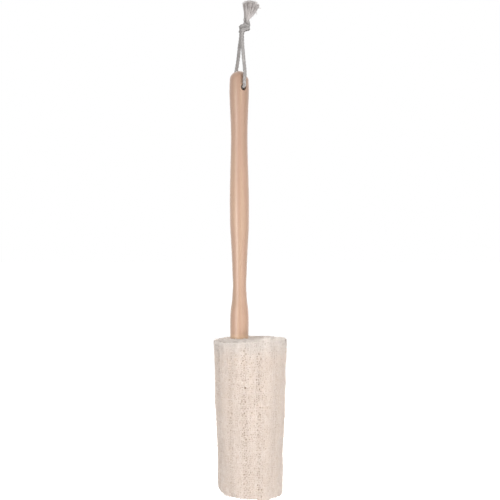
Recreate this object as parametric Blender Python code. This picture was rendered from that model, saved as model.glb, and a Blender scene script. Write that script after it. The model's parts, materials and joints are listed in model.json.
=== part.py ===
"""Loofah back scrubber: a turned beech stick, a cut length of loofah on its lower end, and a hanging cord.

Metres, +Z up, +X to the right, and the front of the object faces -Y. The scrubber hangs from its cord, and
the origin is the point where a hook carries that cord: between the two strands, just under the knot.
"""

import math

import bmesh
import bpy
from mathutils import Matrix, Vector

MM = 0.001

# Driving dimensions, in millimetres. Heights are measured from the origin.
GAP = 0.3                    # left between pieces that touch on the real object
STICK_X = -2.5               # the stick's axis stands a little to the left of the hook
STICK_TOP = -35.8
STICK_LENGTH = 372.0
DOME_HEIGHT = 8.6
FOOT_CHAMFER = 1.2
LOOFAH_TOP = -290.0
LOOFAH_LENGTH = 145.0
LOOFAH_X = 8.1               # the stick sits in one of the loofah's side channels, so it is off centre
HOLE_Z = -52.3
HOLE_RADIUS = 2.6
HOLE_LIP_START = 7.8         # where the hole's rounded lip begins, out from the stick's axis
HOLE_LIP_RADIUS = 2.4
HOLE_TURN = math.radians(30) # the hole runs front to back, turned this far to the right
CORD_RADIUS = 1.6

# The turned outline of the stick: distance below its top, and radius.
STICK_STATIONS = (
    (DOME_HEIGHT, 9.05), (20.0, 9.3), (40.0, 8.55), (52.0, 8.1), (70.0, 7.95), (100.0, 8.72), (118.0, 9.1),
    (132.0, 9.12), (148.0, 8.92), (160.0, 8.25), (180.0, 7.22), (192.0, 6.85), (203.0, 6.4), (211.0, 6.75),
    (218.0, 7.25), (226.0, 8.3), (233.0, 8.75), (241.0, 8.85), (254.0, 8.7), (STICK_LENGTH - FOOT_CHAMFER, 8.6),
)
STICK_RING_SPACING = 9.0
STICK_SIDES = 40

# The loofah: an outer mat of fibres round a core with three seed channels.
# The mat's radius at distances below its top: it narrows slowly, then more at its middle, then hardly.
MAT_STATIONS = (
    (0.0, 34.5), (12.0, 34.3), (24.0, 33.8), (42.0, 33.5), (60.0, 33.1), (72.0, 32.6), (80.0, 32.0), (88.0, 31.4),
    (98.0, 30.95), (118.0, 30.6), (LOOFAH_LENGTH, 30.3),
)
MAT_INNER_RADIUS = 25.0
MAT_RIBS = 10
MAT_RIB_HEIGHT = 0.45
MAT_RIM_ROUND = 1.5
MAT_SIDES = 80
CORE_RADIUS = MAT_INNER_RADIUS - GAP
CHANNEL_OFFSET = LOOFAH_X - STICK_X
STICK_CHANNEL_RADIUS = 9.9
SEED_CHANNEL_RADIUS = 7.2
SEED_CHANNEL_OFFSET = 12.4

# Two beads of glue hold the stick in its channel.
BEAD_LENGTH = 22.0
BEAD_TOPS = (-303.0, -372.0)

# The cord's route on one side: out from the mid line, height, the X of the mid line between the two sides,
# and how far the direction out is turned to the right, in degrees.
LOOP_ROUTE = (
    (0.0, -51.5, -2.5, 30.0), (3.8, -51.5, -2.5, 30.0), (7.4, -51.5, -2.5, 30.0), (9.7, -50.9, -2.45, 30.0),
    (11.3, -49.3, -2.4, 26.6), (12.0, -47.0, -2.35, 24.7), (11.8, -43.4, -2.15, 25.3), (11.0, -39.6, -1.7, 26.2),
    (9.75, -35.2, -1.3, 25.8), (8.1, -29.0, -1.0, 24.3), (6.5, -22.7, -0.82, 23.2), (4.2, -12.8, -0.65, 22.4),
    (2.65, -6.0, -0.3, 22.0), (2.0, -2.5, -0.1, 22.0), (1.9, 0.3, 0.0, 22.0),
)
LOOP_STEP = 1.8
KNOT_CENTRE = (2.85, 0.0, 4.85)
KNOT_HALF_SIZE = (5.3, 4.4, 4.3)
TAIL_ROUTES = {
    "cord_tail_left": ((3.6, 1.65, 9.6), (3.45, 1.7, 14.0), (3.3, 1.75, 18.5)),
    "cord_tail_right": ((5.25, -1.65, 9.6), (5.35, -1.7, 14.0), (5.6, -1.75, 18.5)),
}
# The frayed ends: the middle of each tuft, and its radius there.
FRAY_ROUTES = {
    "frayed_end_left": (
        (3.3, 1.75, 18.9, 1.7), (3.25, 1.85, 22.5, 2.0), (3.6, 2.2, 26.5, 2.8), (4.0, 2.6, 30.8, 3.7),
    ),
    "frayed_end_right": (
        (5.6, -1.75, 18.9, 1.6), (5.75, -1.8, 20.0, 1.7), (7.8, -2.0, 22.4, 2.5), (10.6, -2.4, 24.7, 3.6),
        (13.8, -2.8, 26.6, 4.4),
    ),
}

WOOD = ("beech_wood", (0.74, 0.55, 0.41, 1.0), 0.5)
LOOFAH = ("loofah_fibre", (0.83, 0.72, 0.58, 1.0), 0.9)
CORD = ("cotton_cord", (0.50, 0.46, 0.43, 1.0), 0.9)
GLUE = ("clear_glue", (0.75, 0.68, 0.50, 1.0), 0.3)


def clear_scene():
    for obj in list(bpy.data.objects):
        bpy.data.objects.remove(obj, do_unlink=True)


def material(kind):
    name, colour, roughness = kind
    found = bpy.data.materials.get(name)
    if found:
        return found
    made = bpy.data.materials.new(name)
    made.use_nodes = True
    shader = made.node_tree.nodes["Principled BSDF"]
    shader.inputs["Base Color"].default_value = colour
    shader.inputs["Roughness"].default_value = roughness
    shader.inputs["Metallic"].default_value = 0.0
    made.diffuse_color = colour
    return made


def add_object(name, data, kind):
    obj = bpy.data.objects.new(name, data)
    bpy.context.scene.collection.objects.link(obj)
    data.materials.append(material(kind))
    return obj


def smooth(obj, angle=40):
    obj.data.shade_smooth()
    obj.data.set_sharp_from_angle(angle=math.radians(angle))


def hermite(stations, at):
    """A smooth value through (position, value) stations, with no overshoot beyond gentle slopes."""
    count = len(stations)
    slopes = []
    for i in range(count):
        before = stations[max(i - 1, 0)]
        after = stations[min(i + 1, count - 1)]
        slopes.append((after[1] - before[1]) / (after[0] - before[0]))
    i = 0
    while i < count - 2 and at > stations[i + 1][0]:
        i += 1
    (x0, y0), (x1, y1) = stations[i], stations[i + 1]
    span = x1 - x0
    t = min(max((at - x0) / span, 0.0), 1.0)
    return (
        (2 * t**3 - 3 * t**2 + 1) * y0
        + (t**3 - 2 * t**2 + t) * span * slopes[i]
        + (-2 * t**3 + 3 * t**2) * y1
        + (t**3 - t**2) * span * slopes[i + 1]
    )


def through(points, step):
    """A centripetal Catmull-Rom curve through the points, read about every step along it."""
    points = [Vector(p) for p in points]
    ends = [points[0] * 2 - points[1]] + points + [points[-1] * 2 - points[-2]]
    dense = [points[0]]
    for p0, p1, p2, p3 in zip(ends, ends[1:], ends[2:], ends[3:]):
        t1 = (p1 - p0).length**0.5
        t2 = t1 + (p2 - p1).length**0.5
        t3 = t2 + (p3 - p2).length**0.5
        for k in range(1, 17):
            t = t1 + (t2 - t1) * k / 16
            a1 = p0.lerp(p1, t / t1)
            a2 = p1.lerp(p2, (t - t1) / (t2 - t1))
            a3 = p2.lerp(p3, (t - t2) / (t3 - t2))
            b1 = a1.lerp(a2, t / t2)
            b2 = a2.lerp(a3, (t - t1) / (t3 - t1))
            dense.append(b1.lerp(b2, (t - t1) / (t2 - t1)))
    along = [0.0]
    for a, b in zip(dense, dense[1:]):
        along.append(along[-1] + (b - a).length)
    count = max(2, round(along[-1] / step) + 1)
    found, i = [], 0
    for k in range(count):
        at = along[-1] * k / (count - 1)
        while i < len(dense) - 2 and along[i + 1] < at:
            i += 1
        found.append(dense[i].lerp(dense[i + 1], (at - along[i]) / (along[i + 1] - along[i])))
    return found


def stick_profile():
    """(radius, distance below the top) of the turned stick, from its dome to its foot."""
    profile = []
    for k in range(9):
        turn = math.radians(90 * k / 8)
        profile.append((STICK_STATIONS[0][1] * math.sin(turn), DOME_HEIGHT * (1 - math.cos(turn))))
    foot = STICK_LENGTH - FOOT_CHAMFER
    rings = round((foot - DOME_HEIGHT) / STICK_RING_SPACING)
    for k in range(1, rings + 1):
        below = DOME_HEIGHT + (foot - DOME_HEIGHT) * k / rings
        profile.append((hermite(STICK_STATIONS, below), below))
    profile.append((STICK_STATIONS[-1][1] - FOOT_CHAMFER, STICK_LENGTH))
    profile.append((0.0, STICK_LENGTH))
    return profile


def hole_profile():
    """(radius, distance along the hole) of the cutter: a bore whose two mouths have rounded lips."""
    lip = []
    for k in range(7):
        turn = math.radians(80 * k / 6)
        radius = HOLE_RADIUS + HOLE_LIP_RADIUS * (1 - math.cos(turn))
        lip.append((radius, HOLE_LIP_START + HOLE_LIP_RADIUS * math.sin(turn)))
    lip.append((lip[-1][0], lip[-1][1] + 3.0))
    back = [(radius, -along) for radius, along in reversed(lip)]
    return [(0.0, back[0][1])] + back + lip + [(0.0, lip[-1][1])]


def turned(name, profile, sides, kind):
    """A closed solid turned about local Z from (radius, distance down the axis) points in millimetres."""
    bm = bmesh.new()
    verts = [bm.verts.new((r * MM, 0.0, -down * MM)) for r, down in profile]
    edges = [bm.edges.new(pair) for pair in zip(verts, verts[1:])]
    bmesh.ops.spin(
        bm, geom=verts + edges, cent=(0, 0, 0), axis=(0, 0, 1), angle=math.tau, steps=sides, use_merge=True
    )
    bmesh.ops.remove_doubles(bm, verts=bm.verts, dist=1e-7)
    bmesh.ops.recalc_face_normals(bm, faces=bm.faces)
    mesh = bpy.data.meshes.new(name)
    bm.to_mesh(mesh)
    bm.free()
    return add_object(name, mesh, kind)


def cut(obj, cutter):
    cutter.hide_render = True
    cutter.display_type = "WIRE"
    modifier = obj.modifiers.new("cut_" + cutter.name, "BOOLEAN")
    modifier.operation = "DIFFERENCE"
    modifier.solver = "EXACT"
    modifier.object = cutter


def lofted(name, rings, kind):
    """A closed ring-shaped solid from loops of points that run down its outside and back up its inside."""
    bm = bmesh.new()
    loops = [[bm.verts.new(Vector(p) * MM) for p in ring] for ring in rings]
    for ring, following in zip(loops, loops[1:] + loops[:1]):
        count = len(ring)
        for i in range(count):
            j = (i + 1) % count
            bm.faces.new((ring[i], following[i], following[j], ring[j]))
    bmesh.ops.recalc_face_normals(bm, faces=bm.faces)
    mesh = bpy.data.meshes.new(name)
    bm.to_mesh(mesh)
    bm.free()
    return add_object(name, mesh, kind)


def circle(x, y, z, radius_at, sides):
    turns = [math.tau * k / sides for k in range(sides)]
    return [(x + radius_at(a) * math.cos(a), y + radius_at(a) * math.sin(a), z) for a in turns]


def tube(name, points, kind, radii=None):
    """A round closed tube along points in millimetres, of the cord's radius or of its own at each point."""
    curve = bpy.data.curves.new(name, "CURVE")
    curve.dimensions = "3D"
    curve.bevel_depth = CORD_RADIUS * MM
    curve.bevel_resolution = 2
    curve.use_fill_caps = True
    spline = curve.splines.new("POLY")
    spline.points.add(len(points) - 1)
    for i, point in enumerate(points):
        spline.points[i].co = (*(Vector(point) * MM), 1.0)
        if radii:
            spline.points[i].radius = radii[i] / CORD_RADIUS
    return add_object(name, curve, kind)


def make_stick():
    stick = turned("wooden_handle", stick_profile(), STICK_SIDES, WOOD)
    stick.location = (STICK_X * MM, 0.0, STICK_TOP * MM)
    bore = turned("hole_cutter", hole_profile(), 32, WOOD)
    bore.matrix_world = (
        Matrix.Translation((STICK_X * MM, 0.0, HOLE_Z * MM))
        @ Matrix.Rotation(HOLE_TURN, 4, "Z")
        @ Matrix.Rotation(math.radians(90), 4, "X")
    )
    cut(stick, bore)
    smooth(stick)


def make_loofah():
    bottom = LOOFAH_TOP - LOOFAH_LENGTH

    def outside(z, inset=0.0):
        base = hermite(MAT_STATIONS, LOOFAH_TOP - z) - inset
        return circle(LOOFAH_X, 0.0, z, lambda a: base + MAT_RIB_HEIGHT * math.cos(MAT_RIBS * a), MAT_SIDES)

    steps = 12
    heights = [LOOFAH_TOP - MAT_RIM_ROUND - (LOOFAH_LENGTH - 2 * MAT_RIM_ROUND) * k / steps for k in range(steps + 1)]
    rings = [outside(LOOFAH_TOP, MAT_RIM_ROUND)]
    rings += [outside(z) for z in heights]
    rings.append(outside(bottom, MAT_RIM_ROUND))
    for z in (bottom, LOOFAH_TOP):
        rings.append(circle(LOOFAH_X, 0.0, z, lambda a: MAT_INNER_RADIUS, MAT_SIDES))
    smooth(lofted("loofah_outer_mat", rings, LOOFAH))

    core = turned("loofah_core", [(0, 0), (CORE_RADIUS, 0), (CORE_RADIUS, LOOFAH_LENGTH), (0, LOOFAH_LENGTH)], 48, LOOFAH)
    core.location = (LOOFAH_X * MM, 0.0, LOOFAH_TOP * MM)
    channels = [(STICK_CHANNEL_RADIUS, CHANNEL_OFFSET, 180)]
    channels += [(SEED_CHANNEL_RADIUS, SEED_CHANNEL_OFFSET, side * 60) for side in (1, -1)]
    for number, (radius, offset, degrees) in enumerate(channels):
        profile = [(0, -5), (radius, -5), (radius, LOOFAH_LENGTH + 5), (0, LOOFAH_LENGTH + 5)]
        cutter = turned(f"channel_cutter_{number}", profile, 32, LOOFAH)
        turn = math.radians(degrees)
        cutter.location = (
            (LOOFAH_X + offset * math.cos(turn)) * MM,
            offset * math.sin(turn) * MM,
            LOOFAH_TOP * MM,
        )
        cut(core, cutter)
    smooth(core)


def make_glue():
    outer = STICK_CHANNEL_RADIUS - GAP
    inner = STICK_STATIONS[-2][1] + GAP
    for name, top in zip(("glue_bead_upper", "glue_bead_lower"), BEAD_TOPS):
        corners = [(inner, top), (outer, top), (outer, top - BEAD_LENGTH), (inner, top - BEAD_LENGTH)]
        rings = [circle(STICK_X, 0.0, z, lambda a, r=radius: r, 32) for radius, z in corners]
        smooth(lofted(name, rings, GLUE))


def make_cord():
    def strand(side):
        points = []
        for out, z, lean, degrees in LOOP_ROUTE:
            turn = math.radians(degrees)
            points.append(Vector((lean, 0.0, z)) + Vector((math.sin(turn), -math.cos(turn), 0.0)) * (side * out))
        return points

    route = strand(-1)[:0:-1] + strand(1)
    tube("cord_loop", through(route, LOOP_STEP), CORD)
    bm = bmesh.new()
    size = Matrix.Diagonal((*(half * MM for half in KNOT_HALF_SIZE), 1.0))
    place = Matrix.Translation(Vector(KNOT_CENTRE) * MM)
    bmesh.ops.create_uvsphere(bm, u_segments=20, v_segments=12, radius=1.0, matrix=place @ size)
    mesh = bpy.data.meshes.new("cord_knot")
    bm.to_mesh(mesh)
    bm.free()
    smooth(add_object("cord_knot", mesh, CORD))
    for name, points in TAIL_ROUTES.items():
        tube(name, through(points, LOOP_STEP), CORD)
    for name, stations in FRAY_ROUTES.items():
        points = [s[:3] for s in stations]
        tube(name, points, CORD, [s[3] for s in stations])


clear_scene()
make_stick()
make_loofah()
make_glue()
make_cord()
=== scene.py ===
"""Loofah back scrubber: the visible surfaces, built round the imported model.

Metres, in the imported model's frame: +Z up, the front faces -Y, and the origin is the point where a hook
carries the cord, just under its knot. The tables of sizes, and the stick's sizes, are in millimetres.
"""

import json
import math

import bmesh
import bpy
import numpy as np
from mathutils import Matrix, Vector
from mathutils.geometry import delaunay_2d_cdt
from mathutils.kdtree import KDTree


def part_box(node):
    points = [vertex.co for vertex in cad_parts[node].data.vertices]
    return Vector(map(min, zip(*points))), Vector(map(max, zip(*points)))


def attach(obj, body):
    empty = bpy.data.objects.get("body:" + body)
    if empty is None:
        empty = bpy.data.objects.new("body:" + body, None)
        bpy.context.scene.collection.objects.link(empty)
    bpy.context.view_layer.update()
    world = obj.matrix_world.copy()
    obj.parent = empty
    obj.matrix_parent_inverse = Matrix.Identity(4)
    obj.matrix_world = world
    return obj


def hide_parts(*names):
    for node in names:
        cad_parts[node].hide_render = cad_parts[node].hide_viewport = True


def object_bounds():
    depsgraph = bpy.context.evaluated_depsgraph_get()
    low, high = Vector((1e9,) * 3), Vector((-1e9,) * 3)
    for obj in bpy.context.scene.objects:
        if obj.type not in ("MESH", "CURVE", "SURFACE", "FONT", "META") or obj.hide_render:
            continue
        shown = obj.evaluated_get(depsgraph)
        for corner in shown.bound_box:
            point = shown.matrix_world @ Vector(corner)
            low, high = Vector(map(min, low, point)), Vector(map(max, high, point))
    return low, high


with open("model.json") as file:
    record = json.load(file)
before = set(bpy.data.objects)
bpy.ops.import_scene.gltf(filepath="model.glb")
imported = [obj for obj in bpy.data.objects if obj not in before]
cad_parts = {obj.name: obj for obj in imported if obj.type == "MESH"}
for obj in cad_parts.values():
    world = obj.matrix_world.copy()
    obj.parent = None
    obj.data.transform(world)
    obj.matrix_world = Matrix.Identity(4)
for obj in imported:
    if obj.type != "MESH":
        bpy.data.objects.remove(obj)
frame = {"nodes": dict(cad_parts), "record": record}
cad_low, cad_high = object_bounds()

MM = 0.001
CORD_BODY = "hanging_cord"
SCRUBBER_BODY = "scrubber"

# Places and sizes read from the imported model.
stick_low, stick_high = (np.array(p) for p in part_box("wooden_handle"))
core_low, core_high = (np.array(p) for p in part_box("loofah_core"))
swing = frame["record"]["behaviour"]["joints"][0]
HOLE = np.array(swing["pos_m"])
HOLE_AXIS = np.array(swing["axis"]) / np.linalg.norm(swing["axis"])
STICK_X = (stick_low[0] + stick_high[0]) / 2
STICK_TOP = stick_high[2]
STICK_LENGTH = stick_high[2] - stick_low[2]
LOOFAH_X = (core_low[0] + core_high[0]) / 2
LOOFAH_TOP = core_high[2]
LOOFAH_BOTTOM = core_low[2]
LOOFAH_LENGTH = LOOFAH_TOP - LOOFAH_BOTTOM
CORE_RADIUS = (core_high[0] - core_low[0]) / 2


# ---- shared helpers ----


def add_object(name, data):
    obj = bpy.data.objects.new(name, data)
    bpy.context.scene.collection.objects.link(obj)
    return obj


def add_mesh(name, verts, faces):
    """A new smooth object from an array of points and lists of faces."""
    mesh = bpy.data.meshes.new(name)
    mesh.from_pydata(np.asarray(verts, float).tolist(), [], [list(map(int, f)) for f in faces])
    mesh.update()
    mesh.shade_smooth()
    return add_object(name, mesh)


def finish_piece(obj, body, look, replaces=()):
    obj.data.materials.clear()
    obj.data.materials.append(look)
    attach(obj, body)
    if replaces:
        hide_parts(*replaces)
    return obj


def hermite(stations, at):
    """Smooth values through (position, value) stations."""
    x, y = np.array(stations).T
    number = np.arange(len(x))
    before, after = np.maximum(number - 1, 0), np.minimum(number + 1, len(x) - 1)
    slopes = (y[after] - y[before]) / (x[after] - x[before])
    i = np.clip(np.searchsorted(x, at) - 1, 0, len(x) - 2)
    span = x[i + 1] - x[i]
    t = np.clip((at - x[i]) / span, 0.0, 1.0)
    level = (2 * t**3 - 3 * t**2 + 1) * y[i] + (3 * t**2 - 2 * t**3) * y[i + 1]
    return level + span * ((t**3 - 2 * t**2 + t) * slopes[i] + (t**3 - t**2) * slopes[i + 1])


def through(points, step):
    """A centripetal Catmull-Rom curve through the points, read about every step along it."""
    points = [np.array(p, float) for p in points]
    ends = [points[0] * 2 - points[1]] + points + [points[-1] * 2 - points[-2]]
    dense = [points[0]]
    for window in zip(ends, ends[1:], ends[2:], ends[3:]):
        gaps = [np.linalg.norm(after - before) ** 0.5 for before, after in zip(window, window[1:])]
        knots = np.cumsum([0.0] + gaps)
        for share in np.arange(1, 17) / 16:
            t = knots[1] + (knots[2] - knots[1]) * share
            level = window
            for spans in (((0, 1), (1, 2), (2, 3)), ((0, 2), (1, 3)), ((1, 2),)):
                shares = [(t - knots[i]) / (knots[j] - knots[i]) for i, j in spans]
                level = [a + (b - a) * part for part, a, b in zip(shares, level, level[1:])]
            dense.append(level[0])
    dense = np.array(dense)
    along = np.concatenate([[0], np.cumsum(np.linalg.norm(np.diff(dense, axis=0), axis=1))])
    at = np.linspace(0, along[-1], max(2, round(along[-1] / step) + 1))
    return np.stack([np.interp(at, along, dense[:, k]) for k in range(3)], axis=1)


def unit(v):
    return v / np.maximum(np.linalg.norm(v, axis=-1, keepdims=True), 1e-12)


def carried_normals(points, first):
    """Directions square to a line at each of its points, turned as little as possible on the way."""
    tangents = unit(np.gradient(points, axis=0))
    normals = [unit(first - tangents[0] * (first @ tangents[0]))]
    for before, after in zip(tangents, tangents[1:]):
        n = normals[-1]
        middle = before + after
        n = n - middle * 2 * (n @ middle) / (middle @ middle)
        n = n - after * 2 * (n @ after)
        normals.append(unit(n - after * (n @ after)))
    return np.array(normals)


def bands(rows, inward=False):
    """Four-sided faces between neighbouring rows of point numbers, where each row is a closed loop."""
    upper, lower = rows[..., :-1, :], rows[..., 1:, :]
    corners = [upper, lower, np.roll(lower, -1, axis=-1), np.roll(upper, -1, axis=-1)]
    if inward:
        corners = corners[:1] + corners[:0:-1]
    return np.stack(corners, axis=-1).reshape(-1, 4).tolist()


class Tubes:
    """Many thin closed tubes, gathered for one mesh."""

    def __init__(self):
        self.verts = []
        self.faces = []
        self.count = 0

    def add_many(self, points, radii, normals, sides=4, turn=0.0):
        """Tubes along points[tube, place], with a radius for each place, or for each place and side."""
        tubes, n = points.shape[:2]
        tangents = unit(np.gradient(points, axis=1))
        normals = unit(normals - tangents * (normals * tangents).sum(2, keepdims=True))
        across = np.cross(tangents, normals)
        angles = turn + math.tau * np.arange(sides) / sides
        if radii.ndim < 3:
            radii = np.repeat(radii[:, :, None], sides, axis=2)
        ring = (
            points[:, :, None, :]
            + radii[..., None] * np.cos(angles)[:, None] * normals[:, :, None, :]
            + radii[..., None] * np.sin(angles)[:, None] * across[:, :, None, :]
        )
        self.verts.append(ring.reshape(-1, 3))
        rows = self.count + np.arange(tubes * n * sides).reshape(tubes, n, sides)
        self.faces += bands(rows, inward=True) + rows[:, 0, ::-1].tolist() + rows[:, -1].tolist()
        self.count += rows.size

    def add(self, points, radii, normals, sides=4, turn=0.0):
        """One tube along points. One radius or one normal can stand for all its places."""
        points = np.asarray(points, float)
        radii = np.asarray(radii, float)
        if radii.ndim < 2:
            radii = np.broadcast_to(radii, (len(points),))
        normals = np.broadcast_to(np.asarray(normals, float), points.shape)
        self.add_many(points[None], radii[None], normals[None], sides, turn)

    def piece(self, name):
        return add_mesh(name, np.concatenate(self.verts), self.faces)


def ripples(rng, count, turns, per_metre):
    """A smooth bumpy field over an angle and a height, about -1 to 1 and closed round the turn."""
    around = rng.integers(-turns, turns + 1, count)
    up = rng.uniform(-1, 1, count) * per_metre
    phase = rng.uniform(0, math.tau, count)

    def field(angle, height):
        total = 0.0
        for n, m, p in zip(around, up, phase):
            total = total + np.sin(n * angle + m * height + p)
        return total / (0.9 * math.sqrt(count))

    return field


# ---- materials ----


def fill(node, settings):
    """Set a node's own properties and its sockets by name, where _ stands for a space in a socket's name."""
    for key, value in settings.items():
        if hasattr(node, key):
            setattr(node, key, value)
        else:
            node.inputs[key.replace("_", " ")].default_value = value
    return node


class Shader:
    """A small wrapper for building the nodes of a material or a world round its shader."""

    def __init__(self, owner, shader="Principled BSDF", **fixed):
        self.owner = owner
        owner.use_nodes = True
        self.tree = owner.node_tree
        self.shader = fill(self.tree.nodes[shader], fixed)

    def node(self, kind, **settings):
        return fill(self.tree.nodes.new(kind), settings)

    def link(self, source, target):
        self.tree.links.new(source, target)

    def plug(self, value, socket):
        """Link a socket, or set a number or a colour."""
        if isinstance(value, bpy.types.NodeSocket):
            self.link(value, socket)
        else:
            socket.default_value = (*value, 1.0) if isinstance(value, tuple) else value

    def noise(self, scale, stretch=1.0, detail=3.0, roughness=0.5, distortion=0.0):
        """Noise over the object's own coordinates. A small stretch draws it out along Z."""
        mapping = self.node("ShaderNodeMapping", Scale=(1, 1, stretch))
        self.link(self.node("ShaderNodeTexCoord").outputs["Object"], mapping.inputs["Vector"])
        made = self.node(
            "ShaderNodeTexNoise", Scale=scale, Detail=detail, Roughness=roughness, Distortion=distortion
        )
        self.link(mapping.outputs["Vector"], made.inputs["Vector"])
        return made.outputs["Fac"]

    def ramp(self, value, stops):
        made = self.node("ShaderNodeValToRGB")
        elements = made.color_ramp.elements
        while len(elements) < len(stops):
            elements.new(0.5)
        for element, (place, colour) in zip(elements, stops):
            element.position = place
            element.color = (*colour, 1.0)
        self.link(value, made.inputs["Fac"])
        return made.outputs["Color"]

    def mix(self, share, first, second, blend="MIX"):
        made = self.node("ShaderNodeMix", data_type="RGBA", blend_type=blend)
        for value, number in ((share, 0), (first, 6), (second, 7)):
            self.plug(value, made.inputs[number])
        return made.outputs[2]

    def maths(self, operation, first, second):
        made = self.node("ShaderNodeMath", operation=operation)
        self.plug(first, made.inputs[0])
        self.plug(second, made.inputs[1])
        return made.outputs[0]

    def near_height(self, z, reach):
        """Half at a height, falling to nothing at a reach above it, or below it for a negative reach."""
        apart = self.node("ShaderNodeSeparateXYZ")
        self.link(self.node("ShaderNodeTexCoord").outputs["Object"], apart.inputs["Vector"])
        made = self.node("ShaderNodeMapRange", From_Min=z + reach, From_Max=z, To_Max=0.5)
        self.link(apart.outputs["Z"], made.inputs["Value"])
        return made.outputs["Result"]

    def finish(self, tone, uneven, rough, height, strength, distance):
        """Link the colour, a roughness that varies with uneven, and a bump, and hand over the material."""
        spread = self.node("ShaderNodeMapRange", To_Min=rough[0], To_Max=rough[1])
        self.link(uneven, spread.inputs["Value"])
        bump = self.node("ShaderNodeBump", Strength=strength, Distance=distance)
        self.link(height, bump.inputs["Height"])
        self.link(tone, self.shader.inputs["Base Color"])
        self.link(spread.outputs["Result"], self.shader.inputs["Roughness"])
        self.link(bump.outputs["Normal"], self.shader.inputs["Normal"])
        return self.owner


def material(name, **fixed):
    return Shader(bpy.data.materials.new(name), **fixed)


def beech():
    """Pale steamed beech, waxed: soft growth bands, fine grain along the stick, and short brown flecks."""
    shine = {"Coat_Weight": 0.45, "Coat_Roughness": 0.4, "Sheen_Weight": 0.3, "Sheen_Roughness": 0.4}
    m = material("beech_wood", Specular_IOR_Level=0.5, IOR=1.5, **shine)
    growth = m.noise(150, 0.05, detail=3, roughness=0.6, distortion=0.8)
    stops = ((0.30, (0.385, 0.241, 0.158)), (0.46, (0.424, 0.258, 0.180)), (0.58, (0.443, 0.288, 0.190)))
    tone = m.ramp(growth, (*stops, (0.72, (0.500, 0.315, 0.226))))
    grain = m.noise(1100, 0.025, detail=3, roughness=0.65)
    tone = m.mix(m.maths("MULTIPLY", grain, 0.45), tone, (0.78, 0.70, 0.64), "MULTIPLY")
    mask = m.ramp(m.noise(1500, 0.16, detail=1, roughness=0.4), [(0.60, (0, 0, 0)), (0.68, (1, 1, 1))])
    tone = m.mix(m.maths("MULTIPLY", mask, 0.30), tone, (0.33, 0.18, 0.105))
    patches = m.noise(60, 0.3, detail=2)
    tone = m.mix(m.maths("MULTIPLY", patches, 0.22), tone, (0.57, 0.385, 0.272))
    # Painted shade: the wood darkens towards the top of the stick, where less light falls.
    tone = m.mix(m.near_height(STICK_TOP, -110 * MM), tone, (0.66, 0.65, 0.67), "MULTIPLY")
    # Painted bounce light: the wood is lighter and warmer just above the loofah, as light thrown up from the
    # loofah.
    tone = m.mix(m.near_height(LOOFAH_TOP, 5.5 * MM), tone, (0.80, 0.56, 0.34))
    relief = m.maths("SUBTRACT", grain, m.maths("MULTIPLY", mask, 0.5))
    return m.finish(tone, grain, (0.38, 0.58), relief, 0.4, 0.06 * MM)


def loofah_fibre(name, low, high, strength=0.5, deep=None):
    """Dry gourd fibre: cream, a little darker and warmer in patches, with a rough skin."""
    m = material(name, Specular_IOR_Level=0.25)
    patches = m.noise(70, detail=3, roughness=0.6)
    streaks = m.noise(620, 0.3, detail=3, roughness=0.65)
    middle = tuple((a + b) / 2 for a, b in zip(low, high))
    tone = m.ramp(streaks, [(0.28, low), (0.5, middle), (0.70, high)])
    tone = m.mix(m.maths("MULTIPLY", patches, 0.22), tone, (0.86, 0.79, 0.71), "MULTIPLY")
    # Painted shade in the pits and hollows, led by the depth attribute: darker there, and warmer with the tan
    # of the inner fibre.
    if deep:
        depth = m.node("ShaderNodeAttribute", attribute_name="depth")
        tone = m.mix(m.ramp(depth.outputs["Fac"], [(0.15, (0, 0, 0)), (0.95, (1, 1, 1))]), tone, deep)
    # Painted shade: the fibre is greyer towards the top end of the loofah, where less light falls.
    tone = m.mix(m.near_height(LOOFAH_TOP, -18 * MM), tone, (0.76, 0.735, 0.71))
    return m.finish(tone, streaks, (0.68, 0.92), m.noise(3200, detail=2), strength, 0.12 * MM)


def cotton(name, low, high):
    """Undyed cotton yarn, a little greyed."""
    m = material(name, Specular_IOR_Level=0.2)
    tone = m.ramp(m.noise(260, detail=3, roughness=0.6), [(0.30, low), (0.70, high)])
    fine = m.noise(3600, detail=2)
    tone = m.mix(m.maths("MULTIPLY", fine, 0.35), tone, (0.72, 0.70, 0.68), "MULTIPLY")
    return m.finish(tone, fine, (0.8, 0.98), fine, 0.5, 0.10 * MM)


def glue():
    """Set hot glue: milky amber."""
    m = material("clear_glue", IOR=1.48)
    cloud = m.noise(180, detail=2)
    tone = m.ramp(cloud, [(0.3, (0.58, 0.48, 0.28)), (0.7, (0.72, 0.63, 0.42))])
    return m.finish(tone, cloud, (0.22, 0.4), cloud, 0.3, 0.3 * MM)


# ---- the stick ----

DOME_HEIGHT = 8.6
DOME_STEPS = 22
FOOT_CHAMFER = 1.2
# The turned outline: distance below the top, and radius.
STICK_STATIONS = (
    (DOME_HEIGHT, 9.05), (20.0, 9.3), (40.0, 8.55), (52.0, 8.1), (70.0, 7.95), (100.0, 8.72), (118.0, 9.1),
    (132.0, 9.12), (148.0, 8.92), (160.0, 8.25), (180.0, 7.22), (192.0, 6.85), (203.0, 6.4), (211.0, 6.75),
    (218.0, 7.25), (226.0, 8.3), (233.0, 8.75), (241.0, 8.85), (254.0, 8.7),
    (STICK_LENGTH / MM - FOOT_CHAMFER, 8.6),
)
STICK_SIDES = 96
STICK_RING = 2.0
HOLE_RADIUS = 2.6
HOLE_LIP_START = 7.8
HOLE_LIP_RADIUS = 2.4
# Small faults of the turning, as a size, a distance below the top and a reach. The dome's right shoulder is
# cut away by a share of its width, and the stick is bowed to the right.
SHOULDER_FAULT = (0.14, 4.2, 2.2)
BOW = (0.4, 185.0, 75.0)
BOW_START = 0.1


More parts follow.
